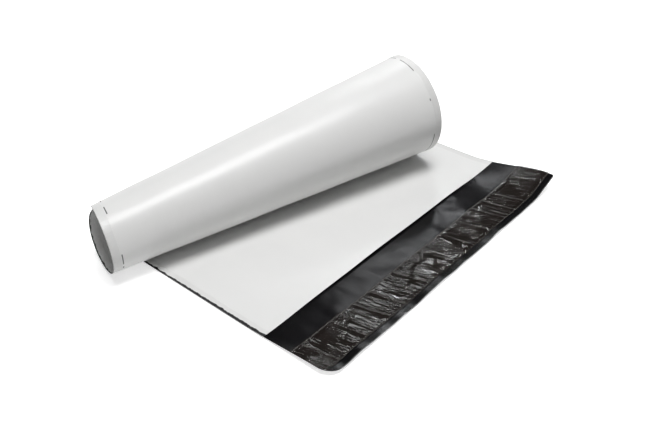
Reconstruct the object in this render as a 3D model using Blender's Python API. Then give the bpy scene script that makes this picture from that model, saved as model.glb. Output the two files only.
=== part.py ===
# A poly mailer bag, lying open and flat at its flap and loosely rolled up from its closed end.
# The bag is one strip of film, white outside and black inside, folded at the bottom and welded up both
# sides. Its back panel runs on past the mouth as the closing flap. A band of hot-melt adhesive lies on
# the flap's black side under a clear release liner. Lengths are in metres, and +Z is up.

import math

import bpy
from mathutils import Vector

# The bag laid flat
BAG_WIDTH = 0.254
PANEL_LENGTH = 0.330
FLAP_DEPTH = 0.0508
LEFT_CORNER_RADIUS = 0.010
RIGHT_CORNER_RADIUS = 0.002
FILM_THICKNESS = 0.00008
SIDE_WELD_WIDTH = 0.005
BOTTOM_FOLD_WIDTH = 0.0015

# The two strips on the flap, measured from the mouth
LINER_INSET = 0.021
LINER_WIDTH = 0.025
LINER_THICKNESS = 0.00005
ADHESIVE_MARGIN = 0.0035
ADHESIVE_THICKNESS = 0.00006
STRIP_CLEARANCE = 0.0003

# The roll: a slightly conical spiral, as film rolled up at an angle takes
ROLL_HALF_ANGLE = math.radians(3.89)
ROLL_SKEW = math.radians(12.8)
LEFT_EDGE_RADIUS = 0.0249
FLAT_LEFT_LENGTH = 0.1137
TURN_TIGHTENING = 0.105
TIGHTENING_LEAD_IN = 0.08
SLIP_PER_TURN = 0.020

# Air in the pocket, and how the flap's free edge stands off the table
WELD_GAP = 0.00006
ROLLED_GAP = 0.00035
FLAT_GAP = 0.0009
MOUTH_GAP = 0.0012
FLAP_LIFT_START = 0.020
FLAP_WAVE_HEIGHT = 0.0010
FLAP_WAVES = 3.5
RIGHT_CORNER_CURL = 0.0085
LEFT_CORNER_CURL = 0.0025
CORNER_CURL_SHARE = 0.16

# How finely the film is divided
COLUMNS_BETWEEN_WELDS = 12
FLAT_ROWS = 7
DEGREES_PER_ROLL_ROW = 15
TAIL_ROWS = 6
CORNER_STEPS = 4

FILM_WHITE = (0.86, 0.86, 0.85, 1.0)
FILM_BLACK = (0.012, 0.012, 0.014, 1.0)
ADHESIVE_AMBER = (0.20, 0.16, 0.12, 1.0)
LINER_CLEAR = (0.10, 0.09, 0.08, 1.0)

LINER_END = LINER_INSET + LINER_WIDTH
ADHESIVE_START = LINER_INSET + ADHESIVE_MARGIN
ADHESIVE_END = LINER_END - ADHESIVE_MARGIN
FULL_TURN = 2 * math.pi

# The film is drawn out flat in a plane whose origin is the roll's tip. +X runs along the line where
# the roll leaves the table, and +Y away from the flap.
ACROSS = Vector((math.cos(ROLL_SKEW), math.sin(ROLL_SKEW)))
TO_FLAP = Vector((math.sin(ROLL_SKEW), -math.cos(ROLL_SKEW)))
TIP_TO_LEFT_EDGE = LEFT_EDGE_RADIUS / math.sin(ROLL_HALF_ANGLE)
MOUTH_LEFT = Vector((TIP_TO_LEFT_EDGE, 0)) + TO_FLAP * FLAT_LEFT_LENGTH


def smooth(share):
    """A share from 0 to 1, eased at both ends."""
    share = min(max(share, 0.0), 1.0)
    return share * share * (3 - 2 * share)


def cone_angle(turn):
    """The angle between the roll's axis and its film, which closes in as the roll is wound."""
    lead = TIGHTENING_LEAD_IN * (1 - math.exp(-turn / TIGHTENING_LEAD_IN))
    return ROLL_HALF_ANGLE * (1 - TURN_TIGHTENING * (turn - lead))


def ruling(turn):
    """The direction from the roll's tip along the film, after that many turns from the table."""
    angle, around = cone_angle(turn), turn * FULL_TURN
    axis = Vector((math.cos(ROLL_HALF_ANGLE), 0, math.sin(ROLL_HALF_ANGLE)))
    down = Vector((math.sin(ROLL_HALF_ANGLE), 0, -math.cos(ROLL_HALF_ANGLE)))
    back = Vector((0, 1, 0))
    outwards = down * math.cos(around) + back * math.sin(around)
    return axis * math.cos(angle) + outwards * math.sin(angle)


def turn_table(most_turns=2.0, steps=720):
    """Pairs of the angle that the flat film takes up about the tip, and the turns it makes."""
    pairs, angle = [(0.0, 0.0)], 0.0
    before = ruling(0)
    for step in range(1, steps + 1):
        turn = most_turns * step / steps
        here = ruling(turn)
        angle += before.angle(here)
        pairs.append((angle, turn))
        before = here
    return pairs


TURNS = turn_table()


def turns_at(angle):
    """How many turns the film has made where it lies at this angle about the tip."""
    low, high = 0, len(TURNS) - 1
    while high - low > 1:
        middle = (low + high) // 2
        if TURNS[middle][0] <= angle:
            low = middle
        else:
            high = middle
    (a0, t0), (a1, t1) = TURNS[low], TURNS[high]
    return t0 + (t1 - t0) * (angle - a0) / (a1 - a0)


def angle_at(turn):
    """The angle about the tip of the film that has made this many turns."""
    share = turn / TURNS[-1][1] * (len(TURNS) - 1)
    low = min(int(share), len(TURNS) - 2)
    return TURNS[low][0] + (TURNS[low + 1][0] - TURNS[low][0]) * (share - low)


def flat_point(across, from_mouth):
    """A point of the film in its flat plane. from_mouth is below zero on the flap."""
    return MOUTH_LEFT + ACROSS * across - TO_FLAP * from_mouth


def flap_lift(across, from_mouth):
    """How far the film stands off the table near and beyond the mouth."""
    reach = smooth((FLAP_LIFT_START - from_mouth) / (FLAP_LIFT_START + FLAP_DEPTH))
    share = across / BAG_WIDTH
    waves = FLAP_WAVE_HEIGHT * (0.5 - 0.5 * math.cos(FULL_TURN * FLAP_WAVES * share))
    right = max(0.0, (share - 1 + CORNER_CURL_SHARE) / CORNER_CURL_SHARE) ** 2
    left = max(0.0, (CORNER_CURL_SHARE - share) / CORNER_CURL_SHARE) ** 2
    return reach * (waves + RIGHT_CORNER_CURL * right + LEFT_CORNER_CURL * left)


def film_place(across, from_mouth):
    """Where a point of the film's outer face lies, and the direction from it into the bag."""
    flat = flat_point(across, from_mouth)
    angle = math.atan2(flat.y, flat.x)
    if angle <= 0:
        return Vector((flat.x, flat.y, flap_lift(across, from_mouth))), Vector((0, 0, 1))
    turn = turns_at(angle)
    along = ruling(turn)
    ahead = ruling(turn + 0.001)
    inwards = along.cross(ahead - along).normalized()
    return along * (flat.length - SLIP_PER_TURN * turn), inwards


def pocket_gap(across, from_mouth):
    """The air between the two panels."""
    inset = min(across, BAG_WIDTH - across) - SIDE_WELD_WIDTH
    if inset < 1e-6 or from_mouth > PANEL_LENGTH - BOTTOM_FOLD_WIDTH - 1e-6:
        return WELD_GAP
    rolled = smooth((from_mouth - 0.3 * FLAT_LEFT_LENGTH) / (0.5 * FLAT_LEFT_LENGTH))
    open_gap = FLAT_GAP + (ROLLED_GAP - FLAT_GAP) * rolled
    open_gap += (MOUTH_GAP - FLAT_GAP) * (1 - smooth(from_mouth / FLAP_LIFT_START))
    return WELD_GAP + (open_gap - WELD_GAP) * smooth(inset / (0.25 * BAG_WIDTH))


def columns():
    """Distances across the film, with a line at the inner side of each weld."""
    inner = BAG_WIDTH - 2 * SIDE_WELD_WIDTH
    between = [SIDE_WELD_WIDTH + inner * i / COLUMNS_BETWEEN_WELDS for i in range(COLUMNS_BETWEEN_WELDS + 1)]
    return [0.0, *between, BAG_WIDTH]


def crossing(angle, across):
    """How far from the mouth the line at this angle about the tip crosses that distance across the film."""
    start = MOUTH_LEFT + ACROSS * across
    sine, cosine = math.sin(angle), math.cos(angle)
    return (start.y * cosine - start.x * sine) / (TO_FLAP.y * cosine - TO_FLAP.x * sine)


def flap_rows():
    """The flap's cross lines, which include the edges of both strips and go round the corners."""
    adhesive = [ADHESIVE_START + (ADHESIVE_END - ADHESIVE_START) * i / 4 for i in range(5)]
    corner = [math.sin(0.5 * math.pi * i / CORNER_STEPS) for i in range(CORNER_STEPS + 1)]
    radii = (LEFT_CORNER_RADIUS, RIGHT_CORNER_RADIUS)
    rounded = [FLAP_DEPTH - radius * (1 - share) for radius in radii for share in corner[:-1]] + [FLAP_DEPTH]
    depths = sorted({*adhesive, *rounded, LINER_INSET, LINER_END, 0.5 * LINER_INSET}, reverse=True)
    return [(-depth, -depth) for depth in depths]


def corner_inset(from_mouth, radius):
    """How far a rounded corner of the flap cuts in from its side."""
    into_corner = radius - FLAP_DEPTH - from_mouth
    if into_corner <= 0:
        return 0.0
    return radius - math.sqrt(max(0.0, radius**2 - into_corner**2))


def pocket_rows():
    """The cross lines from the mouth to the bottom, each by where it meets the left and right edges."""
    contact_left, contact_right = crossing(0, 0), crossing(0, BAG_WIDTH)
    rows = [(contact_left * i / FLAT_ROWS, contact_right * i / FLAT_ROWS) for i in range(FLAT_ROWS)]
    fold_line = PANEL_LENGTH - BOTTOM_FOLD_WIDTH
    step, turn = DEGREES_PER_ROLL_ROW / 360, 0.0
    while crossing(angle_at(turn + 0.4 * step), BAG_WIDTH) < fold_line:
        rows.append((crossing(angle_at(turn), 0), crossing(angle_at(turn), BAG_WIDTH)))
        turn += step
    last_left, last_right = rows[-1]
    for i in range(1, TAIL_ROWS + 1):
        share = i / TAIL_ROWS
        rows.append((last_left + (fold_line - last_left) * share, last_right + (fold_line - last_right) * share))
    rows.append((PANEL_LENGTH, PANEL_LENGTH))
    return rows


def lattice(rows, offsets):
    """Points of the film at each row, column and level. offsets(across, from_mouth) gives the levels."""
    points = []
    for left, right in rows:
        start = corner_inset(left, LEFT_CORNER_RADIUS)
        width = BAG_WIDTH - start - corner_inset(right, RIGHT_CORNER_RADIUS)
        row = []
        for column in columns():
            across = start + width * column / BAG_WIDTH
            from_mouth = left + (right - left) * across / BAG_WIDTH
            place, inwards = film_place(across, from_mouth)
            row.append([place + inwards * level for level in offsets(across, from_mouth)])
        points.append(row)
    return points


def cells_to_mesh(name, points, filled):
    """A closed mesh round the filled cells of a lattice, each cell given by row, column and level."""
    rows, across, levels = len(points), len(points[0]), len(points[0][0])
    solid = {
        (r, c, k)
        for r in range(rows - 1)
        for c in range(across - 1)
        for k in range(levels - 1)
        if filled(r, c, k)
    }
    sides = {
        (-1, 0, 0): ((0, 0, 0), (0, 1, 0), (0, 1, 1), (0, 0, 1)),
        (1, 0, 0): ((1, 0, 0), (1, 0, 1), (1, 1, 1), (1, 1, 0)),
        (0, -1, 0): ((0, 0, 0), (0, 0, 1), (1, 0, 1), (1, 0, 0)),
        (0, 1, 0): ((0, 1, 0), (1, 1, 0), (1, 1, 1), (0, 1, 1)),
        (0, 0, -1): ((0, 0, 0), (1, 0, 0), (1, 1, 0), (0, 1, 0)),
        (0, 0, 1): ((0, 0, 1), (0, 1, 1), (1, 1, 1), (1, 0, 1)),
    }
    index, corners, faces, facing_in = {}, [], [], []
    for r, c, k in sorted(solid):
        for (dr, dc, dk), side in sides.items():
            if (r + dr, c + dc, k + dk) in solid:
                continue
            face = []
            for er, ec, ek in side:
                key = (r + er, c + ec, k + ek)
                if key not in index:
                    index[key] = len(corners)
                    corners.append(points[key[0]][key[1]][key[2]])
                face.append(index[key])
            faces += [(face[0], face[1], face[2]), (face[0], face[2], face[3])]
            facing_in += [(k == 0 and dk == 1) or (k == levels - 2 and dk == -1)] * 2
    mesh = bpy.data.meshes.new(name)
    mesh.from_pydata(corners, [], faces)
    mesh.update()
    return mesh, facing_in


def material(name, colour, roughness):
    made = bpy.data.materials.new(name)
    made.use_nodes = True
    shader = made.node_tree.nodes["Principled BSDF"]
    shader.inputs["Base Color"].default_value = colour
    shader.inputs["Roughness"].default_value = roughness
    shader.inputs["Metallic"].default_value = 0.0
    made.diffuse_color = colour
    return made


def add(name, mesh, materials):
    for used in materials:
        mesh.materials.append(used)
    mesh.shade_smooth()
    mesh.set_sharp_from_angle(angle=math.radians(35))
    made = bpy.data.objects.new(name, mesh)
    bpy.context.scene.collection.objects.link(made)
    return made


def make_bag():
    """The film: back panel and flap, front panel, side welds and bottom fold, open at the mouth."""
    flap, pocket = flap_rows(), pocket_rows()

    def levels(across, from_mouth):
        gap = pocket_gap(across, max(from_mouth, 0.0))
        return 0, FILM_THICKNESS, FILM_THICKNESS + gap, 2 * FILM_THICKNESS + gap

    def filled(row, column, level):
        if level == 0:
            return True
        if row < len(flap):
            return False
        welded = column in (0, COLUMNS_BETWEEN_WELDS + 1) or row == len(flap) + len(pocket) - 2
        return level == 2 or welded

    mesh, facing_in = cells_to_mesh("bag_film", lattice(flap + pocket, levels), filled)
    white, black = material("film_white", FILM_WHITE, 0.35), material("film_black", FILM_BLACK, 0.2)
    bag = add("bag_film", mesh, [white, black])
    for face, inside in zip(mesh.polygons, facing_in):
        face.material_index = 1 if inside else 0
    return bag


def make_strip(name, start, end, height, thickness, colour, roughness):
    """A strip laid across the flap's inner face, between two distances from the mouth."""
    rows = [row for row in flap_rows() if start - 1e-6 <= -row[0] <= end + 1e-6]

    def levels(_across, _from_mouth):
        return height, height + thickness

    mesh, _ = cells_to_mesh(name, lattice(rows, levels), lambda row, column, level: True)
    return add(name, mesh, [material(name, colour, roughness)])


def stand_on_origin(parts):
    """Moves the parts so that the origin is the middle of their footprint, on the table."""
    places = [vertex.co for part in parts for vertex in part.data.vertices]
    low = Vector([min(place[axis] for place in places) for axis in range(3)])
    high = Vector([max(place[axis] for place in places) for axis in range(3)])
    origin = Vector(((low.x + high.x) / 2, (low.y + high.y) / 2, low.z))
    for part in parts:
        for vertex in part.data.vertices:
            vertex.co -= origin


def main():
    for old in list(bpy.data.objects):
        bpy.data.objects.remove(old)
    adhesive_height = FILM_THICKNESS + STRIP_CLEARANCE
    liner_height = adhesive_height + ADHESIVE_THICKNESS + STRIP_CLEARANCE
    parts = [
        make_bag(),
        make_strip(
            "adhesive_strip", ADHESIVE_START, ADHESIVE_END, adhesive_height, ADHESIVE_THICKNESS, ADHESIVE_AMBER, 0.4
        ),
        make_strip(
            "release_liner", LINER_INSET, LINER_END, liner_height, LINER_THICKNESS, LINER_CLEAR, 0.12
        ),
    ]
    stand_on_origin(parts)


main()
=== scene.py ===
import math

import bpy
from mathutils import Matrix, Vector


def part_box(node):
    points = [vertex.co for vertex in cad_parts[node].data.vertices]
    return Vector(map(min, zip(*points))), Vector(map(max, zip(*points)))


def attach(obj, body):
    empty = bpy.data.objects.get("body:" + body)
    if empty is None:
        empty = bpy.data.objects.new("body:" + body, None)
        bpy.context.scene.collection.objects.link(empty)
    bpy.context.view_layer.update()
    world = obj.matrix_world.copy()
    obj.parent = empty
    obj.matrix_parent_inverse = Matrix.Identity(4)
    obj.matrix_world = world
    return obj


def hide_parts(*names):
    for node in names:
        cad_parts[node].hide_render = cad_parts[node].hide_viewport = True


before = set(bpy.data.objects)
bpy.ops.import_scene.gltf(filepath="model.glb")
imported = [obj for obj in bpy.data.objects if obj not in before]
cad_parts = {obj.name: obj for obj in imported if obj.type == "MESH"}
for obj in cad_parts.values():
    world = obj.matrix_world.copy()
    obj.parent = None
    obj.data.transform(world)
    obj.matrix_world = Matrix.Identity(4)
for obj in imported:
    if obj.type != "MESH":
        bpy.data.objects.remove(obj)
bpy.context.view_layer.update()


# The bag is one strip of polyethylene film, blown in two layers: white outside and black inside. It is
# folded at the bottom and heat-sealed up both sides. Its back panel runs on past the mouth as the flap,
# and its closed end is rolled up loosely over the front panel, at a slight angle.
BAG_WIDTH = 0.254
PANEL_LENGTH = 0.330
FLAP_DEPTH = 0.0508
LEFT_CORNER_RADIUS = 0.010
RIGHT_CORNER_RADIUS = 0.002
FILM_THICKNESS = 0.00008
SIDE_WELD_WIDTH = 0.005
BOTTOM_FOLD_WIDTH = 0.0015
ROLL_HALF_ANGLE = math.radians(3.89)
ROLL_SKEW = math.radians(12.8)
LEFT_EDGE_RADIUS = 0.0249
FLAT_LEFT_LENGTH = 0.1137
TURN_TIGHTENING = 0.105
TIGHTENING_LEAD_IN = 0.08
SLIP_PER_TURN = 0.020
FLAP_LIFT_START = 0.020
FLAP_WAVE_HEIGHT = 0.0010
FLAP_WAVES = 3.5
RIGHT_CORNER_CURL = 0.0085
LEFT_CORNER_CURL = 0.0025
CORNER_CURL_SHARE = 0.16
WELD_GAP = 0.00006
ROLLED_GAP = 0.00035
FLAT_GAP = 0.0009
MOUTH_GAP = 0.0012
FRONT_PANEL_SWELL = 0.0007
FILM_RIPPLE = 0.00035
FLAP_FLUTTER = 0.0011
FULL_TURN = 2 * math.pi
# Each wave's share of the height, its length across and down the film, and its phase.
RIPPLE_WAVES = (
    (0.20, 0.083, 0.310, 0.0),
    (0.15, 0.049, -0.170, 1.3),
    (0.15, 0.127, 0.067, 0.4),
)
# Each wave's share of the height, its length across the flap, its lean in waves and its phase.
FLUTTER_WAVES = ((0.3, 0.0370, 0.35, 0.9), (0.2, 0.0215, -0.25, 2.1))
FILM_COLUMNS = 76
FLAP_ROW_STEP = 0.0013
FLAT_ROW_STEP = 0.0024
DEGREES_PER_ROLL_ROW = 3.2
TAIL_ROWS = 26

across_film = Vector((math.cos(ROLL_SKEW), math.sin(ROLL_SKEW)))
towards_flap = Vector((math.sin(ROLL_SKEW), -math.cos(ROLL_SKEW)))
mouth_left = Vector((LEFT_EDGE_RADIUS / math.sin(ROLL_HALF_ANGLE), 0)) + towards_flap * FLAT_LEFT_LENGTH


def smooth(share):
    share = min(max(share, 0.0), 1.0)
    return share * share * (3 - 2 * share)


def ruling(turn):
    """The direction along the rolled film from the roll's tip, after that many turns from the table."""
    lead = TIGHTENING_LEAD_IN * (1 - math.exp(-turn / TIGHTENING_LEAD_IN))
    angle, around = ROLL_HALF_ANGLE * (1 - TURN_TIGHTENING * (turn - lead)), turn * FULL_TURN
    axis = Vector((math.cos(ROLL_HALF_ANGLE), 0, math.sin(ROLL_HALF_ANGLE)))
    down = Vector((math.sin(ROLL_HALF_ANGLE), 0, -math.cos(ROLL_HALF_ANGLE)))
    outwards = down * math.cos(around) + Vector((0, 1, 0)) * math.sin(around)
    return axis * math.cos(angle) + outwards * math.sin(angle)


turn_steps = 1440
most_turns = 2.0
flat_angles = [0.0]
for step in range(turn_steps):
    before, here = ruling(most_turns * step / turn_steps), ruling(most_turns * (step + 1) / turn_steps)
    flat_angles.append(flat_angles[-1] + before.angle(here))


def turns_at(angle):
    low, high = 0, turn_steps
    while high - low > 1:
        middle = (low + high) // 2
        if flat_angles[middle] <= angle:
            low = middle
        else:
            high = middle
    share = (angle - flat_angles[low]) / (flat_angles[high] - flat_angles[low])
    return most_turns * (low + share) / turn_steps


def angle_at(turn):
    place = turn / most_turns * turn_steps
    low = min(int(place), turn_steps - 1)
    return flat_angles[low] + (flat_angles[low + 1] - flat_angles[low]) * (place - low)


def flap_lift(across, from_mouth):
    """How far the film stands off the table near and beyond the mouth: waves, and a curl at each corner."""
    reach = smooth((FLAP_LIFT_START - from_mouth) / (FLAP_LIFT_START + FLAP_DEPTH))
    share = across / BAG_WIDTH
    waves = FLAP_WAVE_HEIGHT * (0.5 - 0.5 * math.cos(FULL_TURN * FLAP_WAVES * share))
    right = max(0.0, (share - 1 + CORNER_CURL_SHARE) / CORNER_CURL_SHARE) ** 2
    left = max(0.0, (CORNER_CURL_SHARE - share) / CORNER_CURL_SHARE) ** 2
    beyond = max(0.0, -from_mouth) / FLAP_DEPTH
    flutter = 0.5 + sum(
        part * math.sin(FULL_TURN * (across / wide + lean * beyond) + phase)
        for part, wide, lean, phase in FLUTTER_WAVES
    )
    curl = RIGHT_CORNER_CURL * right + LEFT_CORNER_CURL * left
    return FLAP_FLUTTER * beyond**1.5 * flutter + reach * (waves + curl)


def ripple(across, from_mouth):
    """Shallow slack in the film, always on the side away from the table."""
    waves = sum(
        part * math.sin(FULL_TURN * (across / wide + from_mouth / deep) + phase)
        for part, wide, deep, phase in RIPPLE_WAVES
    )
    return FILM_RIPPLE * (0.5 + waves)


def film_place(across, from_mouth):
    """Where a point of the film's outer face lies from the roll's tip, and the direction into the bag."""
    flat = mouth_left + across_film * across - towards_flap * from_mouth
    angle = math.atan2(flat.y, flat.x)
    if angle <= 0:
        lift = flap_lift(across, from_mouth) + ripple(across, from_mouth) * smooth(0.4 - from_mouth / 0.03)
        return Vector((flat.x, flat.y, lift)), Vector((0, 0, 1))
    turn = turns_at(angle)
    along, ahead = ruling(turn), ruling(turn + 0.0005)
    inwards = along.cross(ahead - along).normalized()
    slack = ripple(across, from_mouth) * smooth(turn / 0.12)
    return along * (flat.length - SLIP_PER_TURN * turn) + inwards * slack, inwards


def pocket_gap(across, from_mouth):
    """The air between the two panels, with the front panel's slack."""
    inset = min(across, BAG_WIDTH - across) - SIDE_WELD_WIDTH
    if inset < 1e-6 or from_mouth > PANEL_LENGTH - BOTTOM_FOLD_WIDTH - 1e-6:
        return WELD_GAP
    rolled = smooth((from_mouth - 0.3 * FLAT_LEFT_LENGTH) / (0.5 * FLAT_LEFT_LENGTH))
    swell = math.sin(FULL_TURN * across / 0.101 + 0.8) * math.sin(FULL_TURN * from_mouth / 0.15 + 0.5)
    open_gap = FLAT_GAP + FRONT_PANEL_SWELL * (0.5 + 0.5 * swell)
    open_gap += (ROLLED_GAP - open_gap) * rolled
    open_gap += (MOUTH_GAP - FLAT_GAP) * (1 - smooth(from_mouth / FLAP_LIFT_START))
    return WELD_GAP + (open_gap - WELD_GAP) * smooth(inset / (0.25 * BAG_WIDTH))


def crossing(angle, across):
    """How far from the mouth a line at this angle about the tip crosses that distance across the film."""
    start = mouth_left + across_film * across
    sine, cosine = math.sin(angle), math.cos(angle)
    return (start.y * cosine - start.x * sine) / (towards_flap.y * cosine - towards_flap.x * sine)


def steps_between(start, end, size):
    count = max(1, round(abs(end - start) / size))
    return [start + (end - start) * i / count for i in range(count)]


def film_columns():
    inner = BAG_WIDTH - 2 * SIDE_WELD_WIDTH
    weld = [SIDE_WELD_WIDTH * i / 3 for i in range(3)]
    between = [SIDE_WELD_WIDTH + inner * i / FILM_COLUMNS for i in range(FILM_COLUMNS + 1)]
    return [*weld, *between, *[BAG_WIDTH - place for place in reversed(weld)]]


def flap_rows(start, end):
    """Cross lines of the flap, closer together round its corners."""
    corner = FLAP_DEPTH - LEFT_CORNER_RADIUS
    rounds = [corner + LEFT_CORNER_RADIUS * math.sin(math.radians(a)) for a in range(0, 91, 10)]
    depths = [*steps_between(0, corner, FLAP_ROW_STEP), *rounds]
    kept = [depth for depth in depths if start + 1e-6 < depth < end - 1e-6]
    return [(-depth, -depth) for depth in [end, *reversed(kept), start]]


def pocket_rows():
    """Cross lines from the mouth to the bottom, which turn with the roll where the film is rolled."""
    left, right = crossing(0, 0), crossing(0, BAG_WIDTH)
    flat_count = round(left / FLAT_ROW_STEP)
    rows = [(left * i / flat_count, right * i / flat_count) for i in range(flat_count)]
    fold_line = PANEL_LENGTH - BOTTOM_FOLD_WIDTH
    step, turn = DEGREES_PER_ROLL_ROW / 360, 0.0
    while crossing(angle_at(turn + 0.4 * step), BAG_WIDTH) < fold_line:
        rows.append((crossing(angle_at(turn), 0), crossing(angle_at(turn), BAG_WIDTH)))
        turn += step
    left, right = rows[-1]
    for i in range(1, TAIL_ROWS + 1):
        share = i / TAIL_ROWS
        rows.append((left + (fold_line - left) * share, right + (fold_line - right) * share))
    return [*rows, (PANEL_LENGTH, PANEL_LENGTH)]


def corner_inset(from_mouth, radius):
    """How far a rounded corner of the flap cuts in from its side."""
    into_corner = radius - FLAP_DEPTH - from_mouth
    if into_corner <= 0:
        return 0.0
    return radius - math.sqrt(max(0.0, radius**2 - into_corner**2))


def between_corners(share, from_mouth):
    """A distance across the film, from its share of the width between the flap's corners."""
    start = corner_inset(from_mouth, LEFT_CORNER_RADIUS)
    return start + (BAG_WIDTH - start - corner_inset(from_mouth, RIGHT_CORNER_RADIUS)) * share


def film_lattice(rows, levels, roll_tip):
    """Places on the film, and where each lies on the flat pattern, by row, column and level."""
    places, pattern = [], []
    for left, right in rows:
        row, flat = [], []
        for column in film_columns():
            across = between_corners(column / BAG_WIDTH, left)
            from_mouth = left + (right - left) * across / BAG_WIDTH
            place, inwards = film_place(across, from_mouth)
            row.append([roll_tip + place + inwards * level for level in levels(across, from_mouth)])
            flat.append((across, from_mouth + FLAP_DEPTH))
        places.append(row)
        pattern.append(flat)
    return places, pattern


flap = flap_rows(0, FLAP_DEPTH)[:-1]
pocket = pocket_rows()
box_low, box_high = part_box("bag_film")
bare_film = film_lattice(flap + pocket, lambda across, from_mouth: (0.0,), Vector())[0]
reach = [level for row in bare_film for column in row for level in column]
roll_tip = Vector((0, 0, box_low[2]))
for axis in (0, 1):
    own_middle = (min(place[axis] for place in reach) + max(place[axis] for place in reach)) / 2
    roll_tip[axis] = (box_low[axis] + box_high[axis]) / 2 - own_middle


def closed_film(name, rows, levels, filled, finish_of):
    """A closed mesh round the filled cells. Its UV map is the flat pattern in metres."""
    places, pattern = film_lattice(rows, levels, roll_tip)
    last_row, last_column, last_level = len(places) - 1, len(places[0]) - 1, len(places[0][0]) - 1
    solid = {
        (r, c, k)
        for r in range(last_row)
        for c in range(last_column)
        for k in range(last_level)
        if filled(r, c, k)
    }
    sides = {
        (-1, 0, 0): ((0, 0, 0), (0, 1, 0), (0, 1, 1), (0, 0, 1)),
        (1, 0, 0): ((1, 0, 0), (1, 0, 1), (1, 1, 1), (1, 1, 0)),
        (0, -1, 0): ((0, 0, 0), (0, 0, 1), (1, 0, 1), (1, 0, 0)),
        (0, 1, 0): ((0, 1, 0), (1, 1, 0), (1, 1, 1), (0, 1, 1)),
        (0, 0, -1): ((0, 0, 0), (1, 0, 0), (1, 1, 0), (0, 1, 0)),
        (0, 0, 1): ((0, 0, 1), (0, 1, 1), (1, 1, 1), (1, 0, 1)),
    }
    index, corners, faces, finishes, flat = {}, [], [], [], []
    for r, c, k in sorted(solid):
        for (dr, dc, dk), side in sides.items():
            if (r + dr, c + dc, k + dk) in solid:
                continue
            face = []
            for er, ec, ek in side:
                key = (r + er, c + ec, k + ek)
                if key not in index:
                    index[key] = len(corners)
                    corners.append(places[key[0]][key[1]][key[2]])
                face.append(index[key])
                flat.append(pattern[key[0]][key[1]])
            faces.append(face)
            finishes.append(finish_of(k, dk))
    mesh = bpy.data.meshes.new(name)
    mesh.from_pydata(corners, [], faces)
    uv = mesh.uv_layers.new(name="pattern")
    for loop, place in zip(uv.data, flat):
        loop.uv = place
    mesh.polygons.foreach_set("material_index", finishes)
    mesh.shade_smooth()
    mesh.set_sharp_from_angle(angle=math.radians(40))
    mesh.update()
    return mesh


def piece(name, mesh, *finishes):
    for finish in finishes:
        mesh.materials.append(finish)
    made = bpy.data.objects.new(name, mesh)
    bpy.context.scene.collection.objects.link(made)
    return made


def new_finish(name, colour, roughness, specular=0.5):
    """A Principled material and its node tree."""
    made = bpy.data.materials.new(name)
    made.use_nodes = True
    shader = made.node_tree.nodes["Principled BSDF"]
    shader.inputs["Base Color"].default_value = (*colour, 1)
    shader.inputs["Roughness"].default_value = roughness
    shader.inputs["Specular IOR Level"].default_value = specular
    made.diffuse_color = (*colour, 1)
    return made, made.node_tree, shader


def node(tree, kind, **settings):
    """A node. Settings are its properties, or its sockets where the name is a socket's."""
    made = tree.nodes.new(kind)
    for name, value in settings.items():
        label = name.replace("_", " ")
        socket = next((s for s in made.inputs if s.name.lower() == label.lower()), None)
        if socket is not None:
            if isinstance(value, bpy.types.NodeSocket):
                tree.links.new(value, socket)
            else:
                socket.default_value = value
        else:
            setattr(made, name, value)
    return made


def sums(tree, operation, *values):
    """A Math node on two or three values or sockets."""
    made = tree.nodes.new("ShaderNodeMath")
    made.operation = operation
    for socket, value in zip(made.inputs, values):
        if isinstance(value, bpy.types.NodeSocket):
            tree.links.new(value, socket)
        else:
            socket.default_value = value
    return made.outputs[0]


def pattern_noise(tree, per_metre_across, per_metre_down, detail=2.0, seed=0.0):
    """Noise on the flat pattern, with its own scale each way."""
    uv = node(tree, "ShaderNodeUVMap", uv_map="pattern")
    scaled = node(
        tree,
        "ShaderNodeMapping",
        Vector=uv.outputs["UV"],
        Scale=(per_metre_across, per_metre_down, 1),
        Location=(seed, seed * 1.7, seed * 0.3),
    )
    noise = node(tree, "ShaderNodeTexNoise", Vector=scaled.outputs["Vector"], Scale=1.0, Detail=detail)
    return noise.outputs["Fac"]


def relief(tree, shader, *layers):
    """Stacks bumps on the shader. Each layer is a height from 0 to 1 and its depth in metres."""
    below = None
    for height, depth in layers:
        bump = node(tree, "ShaderNodeBump", Height=height, Distance=depth, Strength=1.0)
        if below is not None:
            tree.links.new(below, bump.inputs["Normal"])
        below = bump.outputs["Normal"]
    tree.links.new(below, shader.inputs["Normal"])


def blend_colour(tree, share, first, second):
    mix = node(tree, "ShaderNodeMix", data_type="RGBA")
    factor, a, b = mix.inputs[0], mix.inputs[6], mix.inputs[7]
    for socket, value in ((factor, share), (a, first), (b, second)):
        if isinstance(value, bpy.types.NodeSocket):
            tree.links.new(value, socket)
        else:
            socket.default_value = value if isinstance(value, float) else (*value, 1)
    return mix.outputs[2]


WHITE_FILM = (0.84, 0.84, 0.83)
CLOUDY_FILM = (0.80, 0.80, 0.795)
WELDED_FILM = (0.70, 0.70, 0.69)
WELD_GREYING = 0.4
# Painted shade along the front panel's side edges, together with the black film showing there.
EDGE_SHADE_AND_BLACK_LIP = (0.010, 0.010, 0.011)
SEAL_LINE = (0.10, 0.10, 0.10)
BLACK_FILM = (0.0038, 0.0036, 0.0042)
CUT_EDGE = (0.22, 0.22, 0.22)
MARGIN_AT_MOUTH = 0.0021
MARGIN_IN_ROLL = 0.0006
MARGIN_NARROWS_BY = 0.16
SEAL_LINE_WIDTH = 0.0005
SEAL_LINE_INSET = 0.0062
CUT_RIM = 0.00045
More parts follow.
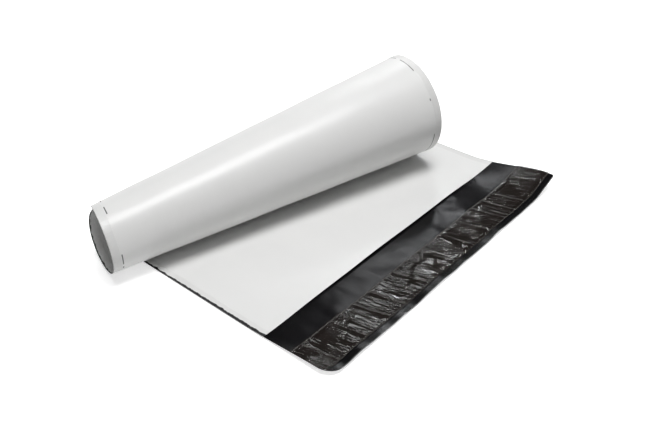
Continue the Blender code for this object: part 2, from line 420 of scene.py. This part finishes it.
# Each pattern's scale across and down the film, per metre, its detail and its seed.
CLOUDS = (34, 20, 3, 2.0)
DRAW_LINES = (900, 9, 2, 5.0)
SLACK = (22, 15, 3, 1.0)
WELD_CRIMP = (200, 700, 1, 3.0)
SEAL_LINE_BREAKS = (25, 60, 2, 12.0)
EDGE_SHADE_JAGS = (80, 260, 3, 13.0)
DENTS = (30, 24, 2, 4.0)
PUCKERS = (120, 26, 3, 6.0)
POLISH = (45, 30, 3, 8.0)
CUT_GRAIN = (1500, 1500, 1, 7.0)
SLACK_DEPTH = 0.0012
DRAW_LINE_DEPTH = 0.00002
CRIMP_DEPTH = 0.0003
EDGE_SHADE_JAG_DEPTH = 0.0022
DENT_DEPTH = 0.0015
PUCKER_DEPTH = 0.00012
CUT_GRAIN_DEPTH = 0.00002


def from_side(tree):
    """The distance from the film's nearer side edge, in metres."""
    uv = node(tree, "ShaderNodeUVMap", uv_map="pattern")
    split = node(tree, "ShaderNodeSeparateXYZ", Vector=uv.outputs["UV"])
    centred = sums(tree, "SUBTRACT", split.outputs["X"], BAG_WIDTH / 2)
    reach = sums(tree, "SUBTRACT", BAG_WIDTH / 2, sums(tree, "ABSOLUTE", centred))
    return reach, split.outputs["Y"]


def edge_share(tree, distance, width, softness):
    """1 within that width of an edge and 0 past it."""
    ramp = node(tree, "ShaderNodeMapRange", Value=distance)
    ramp.inputs["From Min"].default_value = width
    ramp.inputs["From Max"].default_value = width + softness
    ramp.inputs["To Min"].default_value = 1.0
    ramp.inputs["To Max"].default_value = 0.0
    return ramp.outputs["Result"]


def white_film(name):
    """The film's white side, a little cloudy, with its draw lines and the crimp of the side seals."""
    made, tree, shader = new_finish(name, WHITE_FILM, roughness=0.34, specular=0.45)
    side, down = from_side(tree)
    in_pocket = sums(tree, "GREATER_THAN", down, FLAP_DEPTH)
    weld = edge_share(tree, side, SIDE_WELD_WIDTH, softness=0.0006)
    sealed = sums(tree, "MULTIPLY", weld, in_pocket)
    cloudy = blend_colour(tree, pattern_noise(tree, *CLOUDS), WHITE_FILM, CLOUDY_FILM)
    colour = blend_colour(tree, sums(tree, "MULTIPLY", sealed, WELD_GREYING), cloudy, WELDED_FILM)
    drawn = pattern_noise(tree, *DRAW_LINES)
    slack = pattern_noise(tree, *SLACK)
    crimp = sums(tree, "MULTIPLY", pattern_noise(tree, *WELD_CRIMP), sealed)
    relief(tree, shader, (slack, SLACK_DEPTH), (drawn, DRAW_LINE_DEPTH), (crimp, CRIMP_DEPTH))
    return made, tree, shader, side, in_pocket, colour


film_back, tree, shader, side, in_pocket, colour = white_film("film_white_back")
line = sums(tree, "ABSOLUTE", sums(tree, "SUBTRACT", side, SEAL_LINE_INSET))
line = edge_share(tree, line, SEAL_LINE_WIDTH / 2, softness=0.0002)
broken = sums(tree, "GREATER_THAN", pattern_noise(tree, *SEAL_LINE_BREAKS), 0.48)
line = sums(tree, "MULTIPLY", sums(tree, "MULTIPLY", line, broken), in_pocket)
tree.links.new(blend_colour(tree, line, colour, SEAL_LINE), shader.inputs["Base Color"])

# The front panel's white face darkens in a ragged line along each side edge. It is partly the back panel's
# black inside showing past the front panel's edge, and partly painted shade of the gap under that edge, so
# it is widest at the mouth and narrows into the roll.
film_front, tree, shader, _side, _in_pocket, colour = white_film("film_white_front")
uv = node(tree, "ShaderNodeUVMap", uv_map="pattern")
split = node(tree, "ShaderNodeSeparateXYZ", Vector=uv.outputs["UV"])
margin = node(tree, "ShaderNodeMapRange", Value=split.outputs["Y"])
margin.inputs["From Min"].default_value = FLAP_DEPTH
margin.inputs["From Max"].default_value = FLAP_DEPTH + MARGIN_NARROWS_BY
margin.inputs["To Min"].default_value = MARGIN_AT_MOUTH
margin.inputs["To Max"].default_value = MARGIN_IN_ROLL
jag = sums(tree, "SUBTRACT", pattern_noise(tree, *EDGE_SHADE_JAGS), 0.5)
ragged = sums(tree, "ADD", split.outputs["X"], sums(tree, "MULTIPLY", jag, EDGE_SHADE_JAG_DEPTH))
past_margin = sums(tree, "SUBTRACT", ragged, margin.outputs["Result"])
edge_shade_and_lip = edge_share(tree, past_margin, 0.0, softness=0.0003)
tree.links.new(blend_colour(tree, edge_shade_and_lip, colour, EDGE_SHADE_AND_BLACK_LIP), shader.inputs["Base Color"])

film_black, tree, shader = new_finish("film_black", BLACK_FILM, roughness=0.27, specular=0.12)
dents = pattern_noise(tree, *DENTS)
puckers = pattern_noise(tree, *PUCKERS)
relief(tree, shader, (dents, DENT_DEPTH), (puckers, PUCKER_DEPTH))
_side, down = from_side(tree)
at_cut = edge_share(tree, down, CUT_RIM, softness=0.0003)
tree.links.new(blend_colour(tree, at_cut, BLACK_FILM, CUT_EDGE), shader.inputs["Base Color"])
polish = node(tree, "ShaderNodeMapRange", Value=pattern_noise(tree, *POLISH))
polish.inputs["To Min"].default_value = 0.16
polish.inputs["To Max"].default_value = 0.30
tree.links.new(polish.outputs["Result"], shader.inputs["Roughness"])

film_cut, tree, shader = new_finish("film_cut_edge", CUT_EDGE, roughness=0.4)
relief(tree, shader, (pattern_noise(tree, *CUT_GRAIN), CUT_GRAIN_DEPTH))

welded_columns = 3
all_columns = len(film_columns()) - 1


def bag_levels(across, from_mouth):
    gap = pocket_gap(across, max(from_mouth, 0.0))
    return 0, FILM_THICKNESS, FILM_THICKNESS + gap, 2 * FILM_THICKNESS + gap


def bag_filled(row, column, level):
    if level == 0:
        return True
    if row < len(flap):
        return False
    at_side = column < welded_columns or column >= all_columns - welded_columns
    return level == 2 or at_side or row == len(flap) + len(pocket) - 2


def bag_finish(level, facing):
    """0 outside of the back panel, 1 inside, 2 cut edges, 3 outside of the front panel."""
    if facing == 0:
        return 2
    if (level, facing) in ((0, 1), (2, -1)):
        return 1
    return 3 if facing == 1 else 0


film_mesh = closed_film("mailer_film", flap + pocket, bag_levels, bag_filled, bag_finish)
film = piece("mailer_film", film_mesh, film_back, film_black, film_cut, film_front)
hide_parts("bag_film")
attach(film, "root")


# Each side is sealed and cut with one hot knife, which melts both films into a fine dark bead along the
# edge, from the mouth to the bottom fold. The bead is a little uneven, as the melt is.
BEAD_RADIUS = 0.00016
BEAD_SIDES = 8
BEAD_STEP = 0.0011
BEAD_UNEVENNESS = 0.30
BEAD_LUMPS_PER_METRE = 260.0
BEAD_GREY = (0.28, 0.28, 0.28)
BEAD_GRAIN_PER_METRE = 900.0
BEAD_GRAIN_DEPTH = 0.00005

bead_finish, tree, shader = new_finish("melted_edge", BEAD_GREY, roughness=0.35)
grain = node(tree, "ShaderNodeTexNoise", Scale=BEAD_GRAIN_PER_METRE, Detail=2.0)
tree.links.new(node(tree, "ShaderNodeTexCoord").outputs["Object"], grain.inputs["Vector"])
relief(tree, shader, (grain.outputs["Fac"], BEAD_GRAIN_DEPTH))


def growth(name, sockets):
    """A geometry node tree with a mesh input and these named number inputs. Returns it and their names."""
    tree = bpy.data.node_groups.new(name, "GeometryNodeTree")
    tree.interface.new_socket("Geometry", in_out="INPUT", socket_type="NodeSocketGeometry")
    names = {}
    for label in sockets:
        made = tree.interface.new_socket(label, in_out="INPUT", socket_type="NodeSocketFloat")
        names[label] = made.identifier
    tree.interface.new_socket("Geometry", in_out="OUTPUT", socket_type="NodeSocketGeometry")
    return tree, names


def end_growth(tree, geometry, finish):
    """Ends the tree in Realize Instances and Set Material."""
    plain = node(tree, "GeometryNodeRealizeInstances", Geometry=geometry)
    painted = node(tree, "GeometryNodeSetMaterial", Geometry=plain.outputs["Geometry"], Material=finish)
    tree.links.new(painted.outputs["Geometry"], tree.nodes.new("NodeGroupOutput").inputs["Geometry"])


def grow(guide, tree, names, values, thickness=0.0):
    """Runs the tree on the guide piece and leaves its result as a plain mesh."""
    modifier = guide.modifiers.new("growth", "NODES")
    modifier.node_group = tree
    for label, value in values.items():
        modifier[names[label]] = value
    if thickness:
        wall = guide.modifiers.new("thickness", "SOLIDIFY")
        wall.thickness = thickness
        wall.offset = 1.0
    bpy.context.view_layer.update()
    evaluated = guide.evaluated_get(bpy.context.evaluated_depsgraph_get())
    plain = bpy.data.meshes.new_from_object(evaluated)
    guide.modifiers.clear()
    guide.data = plain
    return guide


bead_tree, bead_names = growth("weld_bead", ["Radius", "Step", "Unevenness"])
given = bead_tree.nodes.new("NodeGroupInput")
path = node(bead_tree, "GeometryNodeMeshToCurve", Mesh=given.outputs["Geometry"])
even = node(bead_tree, "GeometryNodeResampleCurve", mode="LENGTH", Curve=path.outputs["Curve"])
bead_tree.links.new(given.outputs["Step"], even.inputs["Length"])
melt = node(bead_tree, "ShaderNodeTexNoise", Scale=BEAD_LUMPS_PER_METRE, Detail=1.0)
lump = sums(bead_tree, "SUBTRACT", melt.outputs["Fac"], 0.5)
swing = sums(bead_tree, "MULTIPLY", lump, given.outputs["Unevenness"])
thick = sums(bead_tree, "ADD", 1.0, sums(bead_tree, "MULTIPLY", swing, 2.0))
ring = node(bead_tree, "GeometryNodeCurvePrimitiveCircle", Resolution=BEAD_SIDES)
bead_tree.links.new(given.outputs["Radius"], ring.inputs["Radius"])
tube = node(bead_tree, "GeometryNodeCurveToMesh", Curve=even.outputs["Curve"])
bead_tree.links.new(ring.outputs["Curve"], tube.inputs["Profile Curve"])
bead_tree.links.new(thick, tube.inputs["Scale"])
tube.inputs["Fill Caps"].default_value = True
end_growth(bead_tree, tube.outputs["Mesh"], bead_finish)


def side_path(name, across):
    """The middle of the sealed edge, from the mouth to the bottom fold."""
    lift, places = FILM_THICKNESS + WELD_GAP / 2, []
    for left, right in pocket:
        from_mouth = left + (right - left) * across / BAG_WIDTH
        place, inwards = film_place(across, from_mouth)
        places.append(roll_tip + place + inwards * max(lift, BEAD_RADIUS))
    mesh = bpy.data.meshes.new(name)
    mesh.from_pydata(places, [(i, i + 1) for i in range(len(places) - 1)], [])
    return piece(name, mesh)


bead_values = {"Radius": BEAD_RADIUS, "Step": BEAD_STEP, "Unevenness": BEAD_UNEVENNESS}
for name, across in (("weld_bead_left", 0.0), ("weld_bead_right", BAG_WIDTH)):
    bead = grow(side_path(name, across), bead_tree, bead_names, bead_values)
    bead.data.shade_smooth()
    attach(bead, "root")


# The adhesive is a band of amber hot melt, sprayed on the flap's black side. It lies under the liner and
# ends short of it on both sides, so that the liner has a dry margin to be pulled by.
LINER_INSET = 0.021
LINER_WIDTH = 0.025
ADHESIVE_MARGIN = 0.0035
ADHESIVE_THICKNESS = 0.00006
STRIP_CLEARANCE = 0.0003
ADHESIVE_START = LINER_INSET + ADHESIVE_MARGIN
ADHESIVE_END = LINER_INSET + LINER_WIDTH - ADHESIVE_MARGIN
ADHESIVE_LIFT = FILM_THICKNESS + STRIP_CLEARANCE * 0.5
ADHESIVE_AMBER = (0.026, 0.018, 0.013)
ADHESIVE_SHADE = (0.013, 0.009, 0.007)
ADHESIVE_STRANDS = (90, 420, 3, 9.0)
STRAND_DEPTH = 0.0003

adhesive_finish, tree, shader = new_finish("hot_melt", ADHESIVE_AMBER, roughness=0.35)
strands = pattern_noise(tree, *ADHESIVE_STRANDS)
relief(tree, shader, (strands, STRAND_DEPTH))
tree.links.new(blend_colour(tree, strands, ADHESIVE_SHADE, ADHESIVE_AMBER), shader.inputs["Base Color"])


def adhesive_levels(_across, _from_mouth):
    return ADHESIVE_LIFT, ADHESIVE_LIFT + ADHESIVE_THICKNESS


adhesive_rows = flap_rows(ADHESIVE_START, ADHESIVE_END)
adhesive_mesh = closed_film(
    "adhesive_band", adhesive_rows, adhesive_levels, lambda *cell: True, lambda *side: 0
)
adhesive = piece("adhesive_band", adhesive_mesh, adhesive_finish)
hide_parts("adhesive_strip")
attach(adhesive, "root")


# The release liner is a clear, stiff, silicone-coated film laid over the adhesive for the flap's whole
# width. It doesn't stretch as the flap does, so it puckers in fine ridges across its width.
LINER_THICKNESS = 0.00005
LINER_CLEAR = (0.020, 0.016, 0.014)
# A painted highlight along the liner's long edges.
LINER_RIM_HIGHLIGHT = (0.16, 0.15, 0.14)
LINER_OPACITY = 0.6
LINER_COLUMNS = 800
LINER_ROWS = 26
RIDGE_HEIGHT = 0.00090
RIDGES_PER_METRE = 330.0
RIDGE_SLANT = 0.22
RIDGE_BREAKS_PER_METRE = 45.0
RIDGE_SHARPNESS = 2.0
FOLDS_PER_METRE = 48.0
FOLD_SHARPNESS = 9.0
FOLD_SHARE = 0.45
LINER_SEED = 3.0
CRUMPLE = (420, 300, 4, 11.0)
CRUMPLED_PATCHES = (60, 70, 1, 14.0)
CRUMPLE_DEPTH = 0.0005

liner_finish, tree, shader = new_finish("clear_liner", LINER_CLEAR, roughness=0.06, specular=0.36)
shader.inputs["Alpha"].default_value = LINER_OPACITY
crumple = pattern_noise(tree, *CRUMPLE)
patch_share = node(tree, "ShaderNodeMapRange", Value=pattern_noise(tree, *CRUMPLED_PATCHES))
patch_share.inputs["From Min"].default_value = 0.46
patch_share.inputs["From Max"].default_value = 0.60
relief(tree, shader, (sums(tree, "MULTIPLY", crumple, patch_share.outputs["Result"]), CRUMPLE_DEPTH))
# The liner is painted lighter in a thin rim along its two long edges: a painted highlight where light
# catches the cut edge.
_side, down = from_side(tree)
off_middle = sums(tree, "ABSOLUTE", sums(tree, "SUBTRACT", down, FLAP_DEPTH - LINER_INSET - LINER_WIDTH / 2))
rim = sums(tree, "SUBTRACT", LINER_WIDTH / 2, off_middle)
rim_highlight_share = edge_share(tree, rim, 0.0003, softness=0.0003)
rim_highlight_colour = blend_colour(tree, rim_highlight_share, LINER_CLEAR, LINER_RIM_HIGHLIGHT)
tree.links.new(rim_highlight_colour, shader.inputs["Base Color"])

liner_tree, liner_names = growth("liner_ridges", ["Height", "Ridges per metre", "Slant", "Seed"])
given = liner_tree.nodes.new("NodeGroupInput")
spot = node(liner_tree, "GeometryNodeInputNamedAttribute", data_type="FLOAT_VECTOR")
spot.inputs["Name"].default_value = "on_pattern"
split = node(liner_tree, "ShaderNodeSeparateXYZ", Vector=spot.outputs["Attribute"])
slanted = sums(liner_tree, "MULTIPLY", split.outputs["Y"], given.outputs["Slant"])
along = sums(liner_tree, "ADD", split.outputs["X"], slanted)
joined = node(
    liner_tree,
    "ShaderNodeCombineXYZ",
    X=sums(liner_tree, "MULTIPLY", along, given.outputs["Ridges per metre"]),
    Y=sums(liner_tree, "MULTIPLY", split.outputs["Y"], RIDGE_BREAKS_PER_METRE),
    Z=given.outputs["Seed"],
)
ridges = node(liner_tree, "ShaderNodeTexNoise", Vector=joined.outputs["Vector"], Scale=1.0, Detail=2.5)
raised = sums(liner_tree, "POWER", ridges.outputs["Fac"], RIDGE_SHARPNESS)
folds = node(liner_tree, "ShaderNodeTexVoronoi", feature="DISTANCE_TO_EDGE", voronoi_dimensions="1D")
liner_tree.links.new(sums(liner_tree, "ADD", along, given.outputs["Seed"]), folds.inputs["W"])
folds.inputs["Scale"].default_value = FOLDS_PER_METRE
flank = sums(liner_tree, "MULTIPLY", folds.outputs["Distance"], FOLD_SHARPNESS)
creased = sums(liner_tree, "MAXIMUM", sums(liner_tree, "SUBTRACT", 1.0, flank), 0.0)
creased = sums(liner_tree, "MULTIPLY", creased, FOLD_SHARE)
height = sums(liner_tree, "MULTIPLY", sums(liner_tree, "ADD", raised, creased), given.outputs["Height"])
upwards = node(liner_tree, "GeometryNodeInputNormal")
push = node(liner_tree, "ShaderNodeVectorMath", operation="SCALE")
liner_tree.links.new(upwards.outputs["Normal"], push.inputs[0])
liner_tree.links.new(height, push.inputs["Scale"])
moved = node(
    liner_tree, "GeometryNodeSetPosition", Geometry=given.outputs["Geometry"], Offset=push.outputs["Vector"]
)
end_growth(liner_tree, moved.outputs["Geometry"], liner_finish)


def liner_guide():
    """The liner's smooth under face, with each point's place on the flat pattern."""
    lift, places, pattern = FILM_THICKNESS + STRIP_CLEARANCE + ADHESIVE_THICKNESS, [], []
    for r in range(LINER_ROWS + 1):
        from_mouth = -(LINER_INSET + LINER_WIDTH * (1 - r / LINER_ROWS))
        for c in range(LINER_COLUMNS + 1):
            across = between_corners(c / LINER_COLUMNS, from_mouth)
            place, inwards = film_place(across, from_mouth)
            places.append(roll_tip + place + inwards * lift)
            pattern.append((across, from_mouth + FLAP_DEPTH))
    wide = LINER_COLUMNS + 1
    faces = [
        (r * wide + c, r * wide + c + 1, (r + 1) * wide + c + 1, (r + 1) * wide + c)
        for r in range(LINER_ROWS)
        for c in range(LINER_COLUMNS)
    ]
    mesh = bpy.data.meshes.new("release_liner_film")
    mesh.from_pydata(places, [], faces)
    spots = mesh.attributes.new("on_pattern", "FLOAT_VECTOR", "POINT")
    uv = mesh.uv_layers.new(name="pattern")
    for loop in mesh.loops:
        uv.data[loop.index].uv = pattern[loop.vertex_index]
    for spot, place in zip(spots.data, pattern):
        spot.vector = (*place, 0)
    mesh.shade_smooth()
    return piece("release_liner_film", mesh)


liner_values = {
    "Height": RIDGE_HEIGHT,
    "Ridges per metre": RIDGES_PER_METRE,
    "Slant": RIDGE_SLANT,
    "Seed": LINER_SEED,
}
liner = grow(liner_guide(), liner_tree, liner_names, liner_values, LINER_THICKNESS)
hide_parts("release_liner")
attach(liner, "root")


# The bag lies on a plain white table under a wide soft light from above, with a faint one behind it and
# three small lamps at the back right for the glints on the liner. The table keeps the bag's shadow.
FLOOR_SIZE = 8.0
FLOOR_GAP = 0.0004
FLOOR_WHITE = (0.86, 0.86, 0.86)
FLOOR_GLOW = 0.58
WORLD_LIGHT = 0.13
CEILING_REFLECTION = 0.05
WALL_TOP = math.sin(math.radians(12))
CEILING_EDGE = math.sin(math.radians(24))
CAMERA_FROM_TIP = Vector((0.2243, -0.3957, 0.3146))
CAMERA_HEADING = Vector((0.5962, 0.8029))
CAMERA_PITCH = math.radians(34.5)
LENS_MM = 43.43
SENSOR_MM = 36.0
WHITE_LIGHT = (1, 1, 1)
COOL_LIGHT = (0.97, 0.985, 1.0)
GLINT_LIGHT = (0.95, 0.98, 1.0)
# Each lamp's name, place, aim, width, height, watts and colour.
LAMPS = (
    ("key_softbox", (0.04, -0.13, 1.22), (0, 0.03, 0.02), 0.70, 0.42, 12.0, WHITE_LIGHT),
    ("back_softbox", (-0.15, 0.65, 1.05), (0, 0.03, 0), 0.80, 0.40, 1.0, WHITE_LIGHT),
    ("glare_softbox", (0.49, 0.54, 0.60), (0.10, -0.05, 0), 0.14, 0.14, 0.45, COOL_LIGHT),
    ("glint_lamp", (0.80, 0.72, 0.78), (0.08, -0.05, 0), 0.06, 0.06, 0.5, GLINT_LIGHT),
    ("low_glint_lamp", (0.62, 0.95, 0.60), (0.0, -0.06, 0), 0.05, 0.10, 0.4, WHITE_LIGHT),
)


def seen(tree):
    """1 where the surface is seen directly, in a reflection or through something clear."""
    path = node(tree, "ShaderNodeLightPath").outputs
    either = sums(tree, "MAXIMUM", path["Is Camera Ray"], path["Is Glossy Ray"])
    return sums(tree, "MAXIMUM", either, path["Is Transmission Ray"])


bpy.ops.mesh.primitive_plane_add(size=FLOOR_SIZE, location=(0, 0, -FLOOR_GAP))
floor = bpy.context.object
floor.name = "floor"
floor_finish, tree, shader = new_finish("floor_white", FLOOR_WHITE, roughness=0.9, specular=0.0)
shader.inputs["Emission Color"].default_value = (1, 1, 1, 1)
tree.links.new(sums(tree, "MULTIPLY", seen(tree), FLOOR_GLOW), shader.inputs["Emission Strength"])
floor.data.materials.append(floor_finish)

world = bpy.data.worlds.new("white_room")
world.use_nodes = True
background = world.node_tree.nodes["Background"]
background.inputs["Color"].default_value = (1, 1, 1, 1)
tree = world.node_tree
upwards = node(tree, "ShaderNodeSeparateXYZ", Vector=node(tree, "ShaderNodeTexCoord").outputs["Generated"])
walls = node(tree, "ShaderNodeMapRange", Value=upwards.outputs["Z"])
walls.inputs["From Min"].default_value = WALL_TOP
walls.inputs["From Max"].default_value = CEILING_EDGE
walls.inputs["To Min"].default_value = 1.0
walls.inputs["To Max"].default_value = CEILING_REFLECTION
rays = node(tree, "ShaderNodeLightPath").outputs
direct = sums(tree, "MAXIMUM", rays["Is Camera Ray"], rays["Is Transmission Ray"])
mirrored = sums(tree, "MULTIPLY", rays["Is Glossy Ray"], walls.outputs["Result"])
ambient = sums(tree, "MULTIPLY", sums(tree, "SUBTRACT", 1.0, seen(tree)), WORLD_LIGHT)
strength = sums(tree, "ADD", sums(tree, "MAXIMUM", direct, mirrored), ambient)
tree.links.new(strength, background.inputs["Strength"])
bpy.context.scene.world = world


for name, place, aim, width, height, watts, colour in LAMPS:
    light = bpy.data.lights.new(name, "AREA")
    light.shape = "RECTANGLE"
    light.size = width
    light.size_y = height
    light.energy = watts
    light.color = colour
    lamp = bpy.data.objects.new(name, light)
    lamp.location = place
    lamp.rotation_euler = (Vector(aim) - Vector(place)).to_track_quat("-Z", "Y").to_euler()
    bpy.context.scene.collection.objects.link(lamp)

lens = bpy.data.cameras.new("camera")
lens.sensor_fit = "HORIZONTAL"
lens.sensor_width = SENSOR_MM
lens.lens = LENS_MM
lens.clip_start = 0.01
camera = bpy.data.objects.new("camera", lens)
camera.location = roll_tip + CAMERA_FROM_TIP
level = math.cos(CAMERA_PITCH)
look = Vector((CAMERA_HEADING.x * level, CAMERA_HEADING.y * level, -math.sin(CAMERA_PITCH)))
camera.rotation_euler = look.to_track_quat("-Z", "Y").to_euler()
bpy.context.scene.collection.objects.link(camera)
bpy.context.scene.camera = camera
bpy.context.scene.view_settings.view_transform = "Standard"
